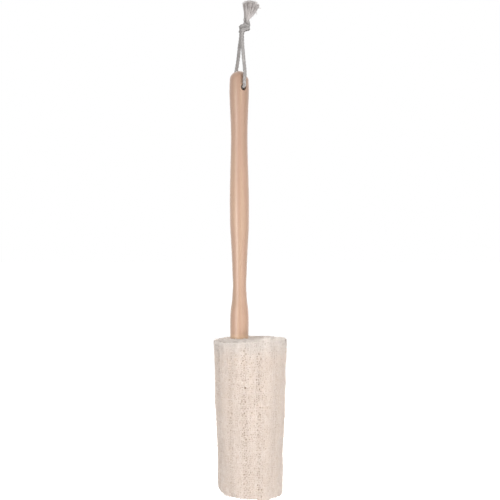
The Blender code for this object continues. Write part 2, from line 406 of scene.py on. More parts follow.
def spun(name, profile, sides):
    """A closed solid turned about local Z from (radius, distance down) points in millimetres."""
    bm = bmesh.new()
    verts = [bm.verts.new((r * MM, 0.0, -down * MM)) for r, down in profile]
    edges = [bm.edges.new(pair) for pair in zip(verts, verts[1:])]
    bmesh.ops.spin(
        bm, geom=verts + edges, cent=(0, 0, 0), axis=(0, 0, 1), angle=math.tau, steps=sides, use_merge=True
    )
    bmesh.ops.remove_doubles(bm, verts=bm.verts, dist=1e-7)
    bmesh.ops.recalc_face_normals(bm, faces=bm.faces)
    mesh = bpy.data.meshes.new(name)
    bm.to_mesh(mesh)
    bm.free()
    return add_object(name, mesh)


def stick_profile():
    """The stick's outline from the top of its dome to the middle of its foot."""
    turns = [math.radians(90 * k / DOME_STEPS) for k in range(DOME_STEPS + 1)]
    dome = [(STICK_STATIONS[0][1] * math.sin(turn), DOME_HEIGHT * (1 - math.cos(turn))) for turn in turns]
    end = STICK_LENGTH / MM
    straight = end - FOOT_CHAMFER - DOME_HEIGHT
    rings = round(straight / STICK_RING)
    places = [DOME_HEIGHT + straight * k / rings for k in range(1, rings + 1)]
    side = [(hermite(STICK_STATIONS, at), at) for at in places]
    return dome + side + [(STICK_STATIONS[-1][1] - FOOT_CHAMFER, end), (0.0, end)]


def hole_profile():
    """The hole's outline from its back mouth to its front one, with a rounded lip at both."""
    lip = []
    for k in range(15):
        turn = math.radians(86 * k / 14)
        radius = HOLE_RADIUS + HOLE_LIP_RADIUS * (1 - math.cos(turn))
        lip.append((radius, HOLE_LIP_START + HOLE_LIP_RADIUS * math.sin(turn)))
    lip.append((lip[-1][0], lip[-1][1] + 3.0))
    back = [(radius, -along) for radius, along in reversed(lip)]
    return [(0.0, back[0][1])] + back + lip + [(0.0, lip[-1][1])]


def hump(fault, at):
    """A smooth rise of a size, round a place, with a reach."""
    size, place, reach = fault
    return size * math.exp(-(((at - place) / reach) ** 2))


def cut_hole(stick):
    bore = spun("hole_cutter", hole_profile(), 64)
    aim = Vector((0, 0, 1)).rotation_difference(Vector(HOLE_AXIS)).to_matrix().to_4x4()
    bore.data.transform(Matrix.Translation(HOLE) @ aim)
    cut = stick.modifiers.new("hole", "BOOLEAN")
    cut.operation = "DIFFERENCE"
    cut.solver = "EXACT"
    cut.object = bore
    graph = bpy.context.evaluated_depsgraph_get()
    mesh = bpy.data.meshes.new_from_object(stick.evaluated_get(graph))
    stick.modifiers.clear()
    stick.data = mesh
    bpy.data.objects.remove(bore)


def make_stick():
    stick = spun("wooden_stick", stick_profile(), STICK_SIDES)
    stick.data.transform(Matrix.Translation((STICK_X, 0.0, STICK_TOP)))
    for vert in stick.data.vertices:
        below = (STICK_TOP - vert.co.z) / MM
        rightward = max(0.0, vert.co.x - STICK_X)
        vert.co.x -= rightward * hump(SHOULDER_FAULT, below)
        vert.co.x += (BOW_START + hump(BOW, below)) * MM
    cut_hole(stick)
    stick.data.shade_smooth()
    stick.data.set_sharp_from_angle(angle=math.radians(40))
    finish_piece(stick, SCRUBBER_BODY, beech(), ["wooden_handle"])


# ---- the loofah ----

# The mat's radius at distances below its top.
MAT_STATIONS = (
    (0.0, 34.5), (12.0, 34.3), (24.0, 33.8), (42.0, 33.5), (60.0, 33.2), (72.0, 32.8), (80.0, 32.3),
    (88.0, 31.8), (98.0, 31.3), (118.0, 30.9), (LOOFAH_LENGTH / MM, 30.65),
)
# The grooves that run down the loofah, as degrees round from the front towards the right.
GROOVE_DEGREES = (-97, -64, -34, -9, 15, 43, 80, 118, 152, 188, 224)
GROOVE_WIDTH = math.radians(6.5)
GROOVE_DEPTH = 0.9 * MM
LUMP_HEIGHT = 0.28 * MM
RIM_ROUND = 1.6 * MM
RIM_DEPTH = 0.7 * MM
CORNER_HEIGHT = 4.2 * MM
CORNER_DEPTH = 2.7 * MM
FRONT = -math.pi / 2
GIRTH = math.tau * 32.5 * MM  # the length that one turn has on the unrolled surface
MEAN_RADIUS = 33 * MM
LUMPS = ripples(np.random.default_rng(11), 14, 14, 260)
FINE_LUMPS = ripples(np.random.default_rng(12), 30, 80, 1900)
GROOVE_DRIFT = ripples(np.random.default_rng(13), 5, 3, 45)
RAGGED = ripples(np.random.default_rng(14), 14, 56, 1)
# Both cuts are out of square: degrees round from the right over the back, and height above a square cut.
TOP_CUT = (
    (0, 0.3), (18, -0.2), (25, -0.9), (31, -1.6), (37, -0.9), (45, -0.1), (55, -0.4), (66, -1.3), (80, -1.5),
    (90, -0.8), (131, -1.2), (145, -1.7), (155, -2.2), (166, -1.6), (180, -0.5), (200, -0.8), (225, -1.3),
    (245, -0.9), (262, -0.2), (276, 0.5), (284, 1.8), (292, 3.2), (310, 3.4), (330, 2.5), (345, 1.3),
)
BOTTOM_CUT = (
    (0, -2.1), (30, -1.6), (90, -0.6), (135, 0.6), (180, 1.2), (210, 0.8), (225, 0.4), (238, 0.5),
    (250, -0.8), (270, -0.4), (282, -1.5), (288, -2.6), (295, -3.1), (306, -2.5), (315, -1.9), (325, -1.6),
    (345, -2.3),
)


def mat_radius(z):
    """The loofah's outer radius at a height."""
    return hermite(MAT_STATIONS, (LOOFAH_TOP - z) / MM) * MM


def groove(angle, z):
    """From 0 on a rib to 1 in the middle of a groove."""
    drift = math.radians(2.5) * GROOVE_DRIFT(angle, z)
    total = np.zeros(np.broadcast(angle, z).shape)
    for degrees in GROOVE_DEGREES:
        off = angle + drift - (FRONT + math.radians(degrees))
        off = (off + math.pi) % math.tau - math.pi
        total = np.maximum(total, np.exp(-((off / GROOVE_WIDTH) ** 2)))
    return total


def cut_height(table, angle):
    """How far an uneven cut lies above the square one, from a table of degrees round and millimetres."""
    degrees, heights = zip(*table)
    return MM * np.interp(np.degrees(angle), degrees, heights, period=360)


def top_rise(angle):
    return cut_height(TOP_CUT, angle) + 0.32 * MM * RAGGED(angle, 0.0)


def bottom_rise(angle):
    return cut_height(BOTTOM_CUT, angle) + 0.15 * MM * RAGGED(angle, 1.0)


def rim_share(reach):
    """0 over the core and 1 at the rim: the cuts are uneven only in the outer mat."""
    edge = mat_radius(LOOFAH_TOP) - MM
    return np.clip((reach - CORE_RADIUS) / (edge - CORE_RADIUS), 0, 1)


def worn_corner(angle, z):
    """The lower left corner is cut back a little, as an uneven cut leaves it."""
    down = np.clip((LOOFAH_BOTTOM + CORNER_HEIGHT - z) / CORNER_HEIGHT, 0, 1)
    return CORNER_DEPTH * down * np.clip(np.cos(angle - math.pi), 0, 1) ** 1.3


def surface_radius(angle, z):
    """The radius of the loofah's outermost fibres."""
    edge = np.minimum(LOOFAH_TOP - z, z - LOOFAH_BOTTOM)
    rim = RIM_DEPTH * np.clip(1 - edge / RIM_ROUND, 0, 1) ** 2
    uneven = LUMP_HEIGHT * LUMPS(angle, z) - GROOVE_DEPTH * groove(angle, z)
    return mat_radius(z) + uneven - rim - worn_corner(angle, z)


def on_surface(angle, z, lift):
    """Points on the loofah's outside, raised by lift, and the outward direction there."""
    out = np.stack([np.cos(angle), np.sin(angle), np.zeros_like(angle)], axis=-1)
    points = out * (surface_radius(angle, z) + lift)[..., None]
    points[..., 0] += LOOFAH_X
    low_share = np.clip((LOOFAH_TOP - z) / LOOFAH_LENGTH, 0, 1) ** 9
    high_share = np.clip((z - LOOFAH_BOTTOM) / LOOFAH_LENGTH, 0, 1) ** 14
    points[..., 2] = z + bottom_rise(angle) * low_share + top_rise(angle) * high_share
    return points, out


def between_cuts(z, margin):
    return np.clip(z, LOOFAH_BOTTOM + margin, LOOFAH_TOP - margin)


def curl(rng, count, step, bend):
    """A flat path from the origin that bends at random as it goes."""
    heading = rng.uniform(0, math.tau) + np.cumsum(rng.normal(0, bend, count))
    return np.cumsum(np.stack([np.cos(heading), np.sin(heading)], axis=1), axis=0) * step


def loofah_piece(obj, fibre, replaces=()):
    return finish_piece(obj, SCRUBBER_BODY, fibre, replaces)


def net_seeds(rng):
    """One point for each opening of the net, on the unrolled surface: more of them on the ribs."""
    across, up = 2.05 * MM, 1.75 * MM
    columns, rows = round(GIRTH / across), round(LOOFAH_LENGTH / up)
    u, v = np.meshgrid(np.arange(columns) * GIRTH / columns, LOOFAH_BOTTOM + (np.arange(rows) + 0.5) * up)
    seeds = np.stack([u.ravel(), v.ravel()], 1) + rng.uniform(-0.46, 0.46, (u.size, 2)) * (across, up)
    depth = groove(seeds[:, 0] / GIRTH * math.tau, seeds[:, 1])
    seeds = seeds[rng.random(len(seeds)) > 0.22 * depth]
    extra = np.stack([rng.uniform(0, GIRTH, 1500), rng.uniform(LOOFAH_BOTTOM, LOOFAH_TOP, 1500)], 1)
    extra = extra[groove(extra[:, 0] / GIRTH * math.tau, extra[:, 1]) < 0.25]
    seeds = np.concatenate([seeds, extra])
    margin = 8 * MM
    before = seeds[seeds[:, 0] > GIRTH - margin] - (GIRTH, 0)
    after = seeds[seeds[:, 0] < margin] + (GIRTH, 0)
    return np.concatenate([seeds, before, after])


SEEDS = net_seeds(np.random.default_rng(22))
NET_PIECES = 4
# How many fibres of each kind are laid or tried, and how many hollows a cut end has.
WHOLE_HOOPS, SHORT_HOOPS, LOOSE_LENGTHS, TANGLES, FUZZ_ENDS = 46, 330, 60, 1300, 1500
END_WEB, END_TIPS, END_HOLLOWS, CHANNEL_RINGS = 1500, 900, 240, 9
LONGEST_LINK = 5 * MM
FLAT_OUT = math.pi / 4  # the turn that brings a flat side of a four-sided fibre to face outward


def triangulate(points, edges=()):
    """The points and triangles of a flat triangulation that keeps the given edges."""
    found = delaunay_2d_cdt([Vector(p) for p in points], list(edges), [], 0, 1e-9)
    flat = np.array([tuple(v) for v in found[0]])
    return flat, np.array([f for f in found[2] if len(f) == 3])


def net_links(middles, triangles):
    """Pairs of neighbouring triangles, by the middles of which a fibre runs from one to the other."""
    owner = {}
    links = []
    for t, triangle in enumerate(triangles.tolist()):
        for i in range(3):
            a, b = triangle[i], triangle[(i + 1) % 3]
            key = (min(a, b), max(a, b))
            if key in owner:
                links.append((owner[key], t))
            owner[key] = t
    links = np.array(links)
    halfway = middles[links].mean(axis=1)
    span = np.linalg.norm(middles[links[:, 0]] - middles[links[:, 1]], axis=1)
    return links[(halfway[:, 0] >= 0) & (halfway[:, 0] < GIRTH) & (span < LONGEST_LINK)]


def make_net(fibre):
    """Short fibres that run between the openings of the net and join at their corners."""
    rng = np.random.default_rng(23)
    flat, triangles = triangulate(SEEDS)
    middles = flat[triangles].mean(axis=1)
    links = net_links(middles, triangles)
    lifts = rng.uniform(-0.30, 0.05, len(middles)) * MM
    start, end = middles[links[:, 0]], middles[links[:, 1]]
    reach = np.linalg.norm(end - start, axis=1, keepdims=True)
    ahead = (end - start) / np.maximum(reach, 1e-6)
    side = np.stack([-ahead[:, 1], ahead[:, 0]], 1) * rng.normal(0, 0.16, (len(links), 1)) * MM
    shares = np.array([-0.1, 0.3, 0.7, 1.1])
    bow = np.array([0.0, 1.0, 1.0, 0.0])
    places = start[:, None] + (end - start)[:, None] * shares[:, None] + side[:, None] * bow[:, None]
    lift = lifts[links[:, 0], None] * (1 - shares) + lifts[links[:, 1], None] * shares
    lift = lift + bow * rng.uniform(-0.05, 0.25, (len(links), 1)) * MM
    angle, z = places[..., 0] / GIRTH * math.tau, places[..., 1]
    z = between_cuts(z, 0.2 * MM)
    lift = lift + 0.5 * GROOVE_DEPTH * groove(angle, z)
    points, out = on_surface(angle, z, lift)
    thick = rng.uniform(0.14, 0.30, (len(links), 1)) * MM * np.ones(4)
    for part in range(NET_PIECES):
        tubes = Tubes()
        pick = slice(part * len(links) // NET_PIECES, (part + 1) * len(links) // NET_PIECES)
        tubes.add_many(points[pick], thick[pick], out[pick], 4, FLAT_OUT)
        loofah_piece(tubes.piece(f"loofah_net_{part + 1}"), fibre)


def pit_depth(angle, z):
    """How far the felt sinks inside each opening of the net: 0 under the fibres and 1 in the middle."""
    tree = KDTree(len(SEEDS))
    for i, (u, v) in enumerate(SEEDS):
        tree.insert((u, v, 0.0), i)
    tree.balance()
    depth = np.empty(angle.shape)
    for i, (u, v) in enumerate(np.stack([angle.ravel() / math.tau * GIRTH, z.ravel()], 1)):
        nearest = tree.find_n((u, v, 0.0), 2)
        depth.flat[i] = (nearest[1][2] - nearest[0][2]) / (1.1 * MM)
    depth = np.clip(depth, 0, 1)
    return depth * depth * (3 - 2 * depth)


# The felt under the net: its columns round, its rows down the outside, and its rings across each cut end.
FELT_COLUMNS, FELT_ROWS, FELT_ENDS = 400, 214, 12
FELT_ANGLES = math.tau * np.arange(FELT_COLUMNS) / FELT_COLUMNS
FELT_INNER = CORE_RADIUS + 0.15 * MM
FELT_UNDER = 0.5 * MM
PIT_DEPTH = 1.6 * MM


def felt_outside(rng):
    """The pitted outside of the felt, from the top down, and how deep each point lies in a pit."""
    heights = np.linspace(LOOFAH_TOP - FELT_UNDER, LOOFAH_BOTTOM + FELT_UNDER, FELT_ROWS)
    wide, tall = np.meshgrid(FELT_ANGLES, heights)
    pits = pit_depth(wide, tall)
    fine = FINE_LUMPS(wide, tall)
    strength = rng.uniform(0.7, 1.0) * (0.62 + 0.38 * groove(wide, tall)) + 0.2 * fine
    pits = pits * np.clip(strength, 0.1, 1.2)
    return on_surface(wide, tall, -FELT_UNDER - PIT_DEPTH * pits + 0.1 * MM * fine)[0], pits


def felt_end(rng, outer, z_end, order):
    """The rings across a cut end, from the rim inwards: spongy, and following the uneven cut."""
    rise = top_rise(FELT_ANGLES) if order < 0 else bottom_rise(FELT_ANGLES)
    rings = []
    for share in (np.arange(FELT_ENDS) + 0.5) / FELT_ENDS:
        sponge = rng.normal(0, 0.28 * MM, FELT_COLUMNS)
        sponge = np.abs(sponge + np.roll(sponge, 1) + np.roll(sponge, -1)) / 1.7
        around = np.sin(FELT_ANGLES * 31 + share * 17) * np.sin(share * 9 + FELT_ANGLES * 7)
        hollow = np.clip(around, 0, 1)
        z = z_end + rise * (1 - share) + order * (0.3 * MM + sponge + 0.9 * MM * hollow)
        # The third value is the ring's painted shade, darker in the hollows.
        rings.append((outer + (FELT_INNER - outer) * share, z, 0.8 * hollow))
    return rings


def make_felt(fibre):
    """The dense under-layer of the outer mat: a closed ring, pitted inside the net, with spongy cut ends."""
    rng = np.random.default_rng(21)
    points, pits = felt_outside(rng)
    top, bottom = (np.hypot(points[row, :, 0] - LOOFAH_X, points[row, :, 1]) - 0.3 * MM for row in (0, -1))
    rings = felt_end(rng, bottom, LOOFAH_BOTTOM, 1)
    rings += [(FELT_INNER, z, 0.5) for z in np.linspace(LOOFAH_BOTTOM + 3 * MM, LOOFAH_TOP - 2 * MM, 8)]
    rings += reversed(felt_end(rng, top, LOOFAH_TOP, -1))
    verts, shades = [points.reshape(-1, 3)], [pits.ravel()]
    for radius, z, shade in rings:
        x, y = LOOFAH_X + radius * np.cos(FELT_ANGLES), radius * np.sin(FELT_ANGLES)
        verts.append(np.column_stack([x, y, z * np.ones(FELT_COLUMNS)]))
        shades.append(shade * np.ones(FELT_COLUMNS))
    verts = np.concatenate(verts)
    rows = np.arange(len(verts)).reshape(-1, FELT_COLUMNS)
    felt = add_mesh("loofah_mat_felt", verts, bands(np.vstack([rows, rows[:1]])))
    # The depth attribute leads the painted shade of the under layer: darker in the pits, in the hollows of
    # the cut ends and on the inner wall.
    depth = felt.data.attributes.new("depth", "FLOAT", "POINT")
    depth.data.foreach_set("value", np.concatenate(shades).astype(np.float32))
    loofah_piece(felt, fibre, ["loofah_outer_mat"])


def fibre_run(tubes, angle, z, lift, thick):
    """One fibre that follows the outside of the loofah."""
    points, out = on_surface(angle, z, lift)
    taper = np.ones(len(angle))
    taper[[0, -1]] = 0.45
    tubes.add(points, thick * taper, out, 4, FLAT_OUT)


def hoop_fibres(tubes, rng):
    """Fibres round the loofah. Whole turns bridge the grooves like the rungs of a ladder."""
    wander = ripples(rng, 6, 6, 300)
    weave = ripples(rng, 10, 34, 900)
    for k in range(WHOLE_HOOPS):
        z0 = LOOFAH_TOP - LOOFAH_LENGTH * (k + 0.5 + rng.uniform(-0.22, 0.22)) / WHOLE_HOOPS
        start = rng.uniform(0, math.tau)
        angle = start + math.tau * 1.01 * np.arange(141) / 140
        z = z0 + 0.9 * MM * wander(angle, z0) + rng.normal(0, 0.4) * MM * (angle - start - math.pi) / math.pi
        z = between_cuts(z, 0.4 * MM)
        bridge = 0.6 * GROOVE_DEPTH * groove(angle, z)
        lift = bridge - 0.25 * MM + 0.16 * MM * weave(angle, z)
        fibre_run(tubes, angle, z, lift, rng.uniform(0.14, 0.26) * MM)
    for _ in range(SHORT_HOOPS):
        z0 = rng.uniform(LOOFAH_BOTTOM + 0.5 * MM, LOOFAH_TOP - 0.5 * MM)
        span = rng.uniform(0.15, 0.75)
        count = max(6, round(span * MEAN_RADIUS / (1.5 * MM)))
        angle = rng.uniform(0, math.tau) + span * np.linspace(0, 1, count)
        z = z0 + rng.normal(0, 1.6) * MM * np.linspace(-1, 1, count) + 0.8 * MM * wander(angle * 2, z0)
        z = between_cuts(z, 0.3 * MM)
        lift = -0.15 * MM + 0.22 * MM * weave(angle, z)
        fibre_run(tubes, angle, z, lift, rng.uniform(0.12, 0.26) * MM)


def long_fibres(tubes, rng):
    """Fibres down the loofah: two bundles beside each groove, and finer ones over the ribs."""
    wander = ripples(rng, 8, 5, 160)
    weave = ripples(rng, 10, 30, 1300)
    rails = []
    for degrees in GROOVE_DEGREES:
        middle = FRONT + math.radians(degrees)
        for side in (-1, 1):
            rails += [middle + side * math.radians(rng.uniform(4.6, 7.5)) for _ in range(2)]
    loose = list(rng.uniform(0, math.tau, LOOSE_LENGTHS))
    for angle0 in rails + loose:
        top = LOOFAH_TOP + rng.uniform(-0.5, 0.9) * MM
        bottom = LOOFAH_BOTTOM - rng.uniform(-0.5, 0.9) * MM
        if angle0 in loose and rng.random() < 0.6:
            middle, half = rng.uniform(bottom, top), rng.uniform(12, 40) * MM
            top, bottom = min(top, middle + half), max(bottom, middle - half)
        z = np.linspace(top, bottom, max(8, round((top - bottom) / (1.9 * MM))))
        offset = rng.uniform(0, 100)
        angle = angle0 + math.radians(1.6) * wander(offset, z) + math.radians(0.9) * weave(offset, z)
        lift = -0.1 * MM + 0.26 * MM * weave(offset + 2, z)
        fibre_run(tubes, angle, z, lift, rng.uniform(0.12, 0.26) * MM)


def tangle_fibres(tubes, rng):
    """Short curling fibres felted over the ribs in every direction."""
    for _ in range(TANGLES):
        length = rng.uniform(6, 20) * MM
        count = max(6, round(length / (1.3 * MM)))
        path = curl(rng, count, length / count, 0.20)
        angle = rng.uniform(0, math.tau) + path[:, 0] / MEAN_RADIUS
        z = rng.uniform(LOOFAH_BOTTOM, LOOFAH_TOP) + path[:, 1]
        if z.min() <= LOOFAH_BOTTOM + 0.2 * MM or z.max() >= LOOFAH_TOP - 0.2 * MM:
            continue
        if groove(angle, z).max() > 0.5 and rng.random() < 0.85:
            continue
        arch = np.sin(np.linspace(0, math.pi, count))
        lift = (-0.35 + rng.uniform(0.15, 0.65) * arch) * MM
        fibre_run(tubes, angle, z, lift, rng.uniform(0.09, 0.22) * MM)


def fuzz_fibres(tubes, rng):
    """Fine ends that stand a millimetre or so off the loofah all over."""
    for _ in range(FUZZ_ENDS):
        angle0 = rng.uniform(0, math.tau)
        z0 = rng.uniform(LOOFAH_BOTTOM + MM, LOOFAH_TOP - MM)
        base, out = on_surface(np.array([angle0]), np.array([z0]), np.array([-0.4 * MM]))
        side = np.array([-math.sin(angle0), math.cos(angle0), 0.0]) * rng.normal(0, 1)
        side = unit(side + np.array([0, 0, rng.normal(0, 1)]))
        length = rng.uniform(1.0, 2.6) * MM
        t = np.linspace(0, 1, 6)[:, None]
        lean = rng.uniform(0.2, 1.2)
        points = base + out * (length * t * (1 - 0.35 * t)) + side * (length * lean * t**1.6)
        radii = rng.uniform(0.05, 0.11) * MM * (1 - 0.6 * t[:, 0])
        tubes.add(points, radii, side + out * 0.01, 3)


# The core's three channels, as X, Y and radius: the one that holds the stick, and two seed channels.
SEED_CHANNEL_OFFSET = 12.4 * MM
CHANNELS = [(STICK_X, 0.0, 9.0 * MM)] + [
    (LOOFAH_X + SEED_CHANNEL_OFFSET * math.cos(turn), SEED_CHANNEL_OFFSET * math.sin(turn), 7.0 * MM)
    for turn in (math.pi / 3, -math.pi / 3)
]
OUTLINE_SIDES = 160
CHANNEL_SIDES = 72
CORE_SPACING = 0.75 * MM
WALL_ROWS = 46


def outline(x, y, radius, wobble, sides):
    """A circle, or a slightly wavy one."""
    turn = math.tau * np.arange(sides) / sides
    reach = radius * (1 + wobble * np.sin(3 * turn + x * 900) + 0.6 * wobble * np.sin(5 * turn + 2.0))
    return np.stack([x + reach * np.cos(turn), y + reach * np.sin(turn)], axis=1)


def channel_outline(number, sides=CHANNEL_SIDES, margin=0.0):
    """Channel 0 holds the stick and is round, and the two seed channels are wavy."""
    x, y, radius = CHANNELS[number]
    return outline(x, y, radius + margin, 0.0 if number == 0 else 0.045, sides)


def inside_loop(points, loop):
    """Which points lie inside a closed loop."""
    found = np.zeros(len(points), bool)
    for a, b in zip(loop, np.roll(loop, -1, axis=0)):
        crosses = (a[1] > points[:, 1]) != (b[1] > points[:, 1])
        with np.errstate(divide="ignore", invalid="ignore"):
            x = a[0] + (points[:, 1] - a[1]) / (b[1] - a[1]) * (b[0] - a[0])
        found ^= crosses & (points[:, 0] < x)
    return found


def core_plan():
    """The core's section: points, triangles, and how many points lie on each of its four loops."""
    rng = np.random.default_rng(41)
    loops = [outline(LOOFAH_X, 0.0, CORE_RADIUS, 0.0, OUTLINE_SIDES)] + [channel_outline(n) for n in range(3)]
    side = np.arange(-CORE_RADIUS, CORE_RADIUS, CORE_SPACING)
    gx, gy = np.meshgrid(side, side)
    shift = rng.uniform(-0.3, 0.3, (gx.size, 2)) * CORE_SPACING
    inner = np.stack([gx.ravel() + LOOFAH_X, gy.ravel()], axis=1) + shift
    margin = 0.6 * CORE_SPACING
    keep = inside_loop(inner, outline(LOOFAH_X, 0.0, CORE_RADIUS - margin, 0.0, OUTLINE_SIDES))
    for n in range(3):
        keep &= ~inside_loop(inner, channel_outline(n, margin=margin))
    edges, start = [], 0
    for loop in loops:
        count = len(loop)
        edges += [(start + i, start + (i + 1) % count) for i in range(count)]
        start += count
    flat, triangles = triangulate(np.concatenate(loops + [inner[keep]]), edges)
    middles = flat[triangles].mean(axis=1)
    keep = inside_loop(middles, loops[0])
    for loop in loops[1:]:
        keep &= ~inside_loop(middles, loop)
    return flat, triangles[keep], [len(loop) for loop in loops]


def sponge_relief(flat, seed):
    """How far each point of a cut end lies below the cut: many small hollows between the fibres."""
    rng = np.random.default_rng(seed)
    relief = np.abs(rng.normal(0, 0.18 * MM, len(flat)))
    for _ in range(END_HOLLOWS):
        middle = np.array([LOOFAH_X, 0.0]) + rng.uniform(-1, 1, 2) * CORE_RADIUS
        radius = rng.uniform(0.6, 1.7) * MM
        depth = rng.uniform(0.8, 2.6) * MM
        away = np.linalg.norm(flat - middle, axis=1)
        relief = np.maximum(relief, depth * np.exp(-((away / radius) ** 4)))
    return relief


def wall_swell(rng, number, count, k):
    """How much wider than its mouth a seed channel is at a row of its wall."""
    share = k / WALL_ROWS
    ripple = 0.025 * np.sin(math.tau * np.arange(count) / count * 9 + k * 1.3)
    ends = min(share, 1 - share) * LOOFAH_LENGTH / MM
    widen = 0.09 * min(ends / 8.0, 1.0) if number == 1 else 0.05 * math.sin(k * 0.7)
    return 1 + widen + ripple + rng.normal(0, 0.012, count)


def make_core(fibre):
    """The inner web: a solid with three channels, spongy at both cut ends."""
    flat, triangles, counts = core_plan()
    border = sum(counts)
    levels = []
    for z_end, order, seed in ((LOOFAH_TOP, -1, 51), (LOOFAH_BOTTOM, 1, 52)):
        relief = sponge_relief(flat, seed)
        relief[:border] = np.minimum(relief[:border], 0.6 * MM)
        levels.append(z_end + order * (relief + 0.2 * MM))
    verts = [np.column_stack([flat, level]) for level in levels]
    faces = [list(t) for t in triangles] + [list(t[::-1] + len(flat)) for t in triangles]
    a, b, c = (flat[triangles[0][i]] for i in range(3))
    if np.cross(b - a, c - a) < 0:
        faces = [f[::-1] for f in faces]
    rng = np.random.default_rng(53)
    total, start = 2 * len(flat), 0
    for number, count in enumerate(counts):
        above = np.arange(start, start + count)
        loop = flat[above]
        middle = loop.mean(axis=0)
        rows = [above]
        for k in range(1, WALL_ROWS):
            z = levels[0][above] + (levels[1][above] - levels[0][above]) * k / WALL_ROWS
            swell = wall_swell(rng, number, count, k) if number > 0 else 1.0
            ring = middle + (loop - middle) * np.reshape(swell, (-1, 1))
            verts.append(np.column_stack([ring, z]))
            rows.append(np.arange(total, total + count))
            total += count
        rows.append(above + len(flat))
        faces += bands(np.array(rows), inward=number > 0)
        start += count
    core = add_mesh("loofah_core_web", np.concatenate(verts), faces)
    loofah_piece(core, fibre, ["loofah_core"])


def clear_of_channels(points, margin):
    clear = np.ones(len(points), bool)
    for x, y, radius in CHANNELS:
        clear &= np.hypot(points[:, 0] - x, points[:, 1] - y) > radius + margin
    return clear


def end_web(tubes, rng, z_end, order, rise, edge):
    """The net of fibres that lies over a cut end."""
    for _ in range(END_WEB):
        start = rng.uniform(-1, 1, 2) * edge
        if np.hypot(*start) > edge:
            continue
        length = rng.uniform(4, 13) * MM
        count = max(6, round(length / (1.1 * MM)))
        path = start + curl(rng, count, length / count, 0.28)
        reach = np.hypot(path[:, 0], path[:, 1])
        turn = np.arctan2(path[:, 1], path[:, 0])
        limit = surface_radius(turn, np.full(count, z_end)) - 0.3 * MM
        path[:, 0] += LOOFAH_X
        if (reach > limit).any() or not clear_of_channels(path, 0.15 * MM).all():
            continue
        arch = np.sin(np.linspace(0, math.pi, count))
        lift = rng.uniform(-0.3, 0.2) * MM + rng.uniform(0.1, 0.7) * MM * arch
        points = np.column_stack([path, z_end + rise(turn) * rim_share(reach) - order * lift])
        tubes.add(points, rng.uniform(0.10, 0.24) * MM, [0.0, 0.0, -order], 4, FLAT_OUT)


def end_tips(tubes, rng, z_end, order, rise, edge):
    """The cut fibres that stand up from a cut end."""
    for _ in range(END_TIPS):
        turn, reach = rng.uniform(0, math.tau), edge * math.sqrt(rng.uniform(0.0, 1.0))
        base = np.array([LOOFAH_X + reach * math.cos(turn), reach * math.sin(turn)])
        if not clear_of_channels(base[None, :], 0.3 * MM)[0]:
            continue
        height = rng.uniform(0.5, 1.5) * MM
        root = 0.7 * MM
        t = np.linspace(0, 1, 5)
        lean = rng.normal(0, 0.45, 2)
        z = z_end + rise(turn) * rim_share(reach) + order * root - order * t * (height + root)
        points = np.column_stack([base + np.outer(t**1.5 * height, lean), z])
        tubes.add(points, rng.uniform(0.09, 0.2) * MM, [1.0, 0.2, 0.1], 4)


def channel_rings(tubes, rng, z_end, order):
    """Fibres round the mouth of each channel."""
    for number in range(3):
        loop = channel_outline(number, 40)
        middle = loop.mean(axis=0)
        for k in range(CHANNEL_RINGS):
            depth = (0.1 + 1.1 * k + rng.uniform(-0.2, 0.2)) * MM
            grow = 1.01 if number == 0 else 0.985 + 0.01 * k
            ring = middle + (loop - middle) * grow
            ring = np.vstack([ring, ring[:1]])
            z = z_end + order * depth + 0.35 * MM * np.sin(np.linspace(0, math.tau * 3, len(ring)) + k)
            tubes.add(np.column_stack([ring, z]), rng.uniform(0.15, 0.28) * MM, [0.0, 0.0, -order], 4)


def end_fibres(name, z_end, order, seed, fibre):
    """All the loose fibre of one cut end. order is -1 for the top and 1 for the bottom."""
    rng = np.random.default_rng(seed)
    tubes = Tubes()
    rise = top_rise if order < 0 else bottom_rise
    edge = mat_radius(z_end) - 1.6 * MM
    end_web(tubes, rng, z_end, order, rise, edge)
    end_tips(tubes, rng, z_end, order, rise, edge)
    channel_rings(tubes, rng, z_end, order)
    loofah_piece(tubes.piece(name), fibre)


def make_loofah():
    # Painted shade in the pits, with the warmer tan of the inner fibre.
    painted_pit_shade = (0.57, 0.455, 0.36)
    # Painted shade: the under layer is a darker, warmer copy of the fibre, so the grooves and openings under
    # the net read darker; the warmth is partly the inner fibre's own tan.
    under = loofah_fibre("loofah_under_layer", (0.76, 0.65, 0.56), (0.90, 0.81, 0.74), 0.8, painted_pit_shade)
    fibre = loofah_fibre("loofah_fibre", (0.80, 0.70, 0.625), (0.945, 0.865, 0.81))
    make_felt(under)
    make_core(under)
    make_net(fibre)
    layers = (
        ("loofah_hoop_fibres", hoop_fibres, 31),
        ("loofah_long_fibres", long_fibres, 32),
        ("loofah_tangle_fibres", tangle_fibres, 33),
        ("loofah_fuzz", fuzz_fibres, 34),
    )
    for name, lay, seed in layers:
        tubes = Tubes()
        lay(tubes, np.random.default_rng(seed))
        loofah_piece(tubes.piece(name), fibre)
    end_fibres("loofah_top_net", LOOFAH_TOP, -1, 61, fibre)
    end_fibres("loofah_bottom_net", LOOFAH_BOTTOM, 1, 62, fibre)


# ---- the cord ----

STRAND_OFFSET = 0.72 * MM
STRAND_RADIUS = 0.98 * MM
LAY_LENGTH = 9.5 * MM
CORD_SIDES = 42
CORD_STEP = 0.3 * MM
YARN_STEP = 0.5 * MM
YARN_SIDES = 6
YARN_SIDEWAYS = np.array([0.3, 0.8, 0.1])  # a direction that no yarn follows, from which their twist starts
SPLIT_ENDS = 20
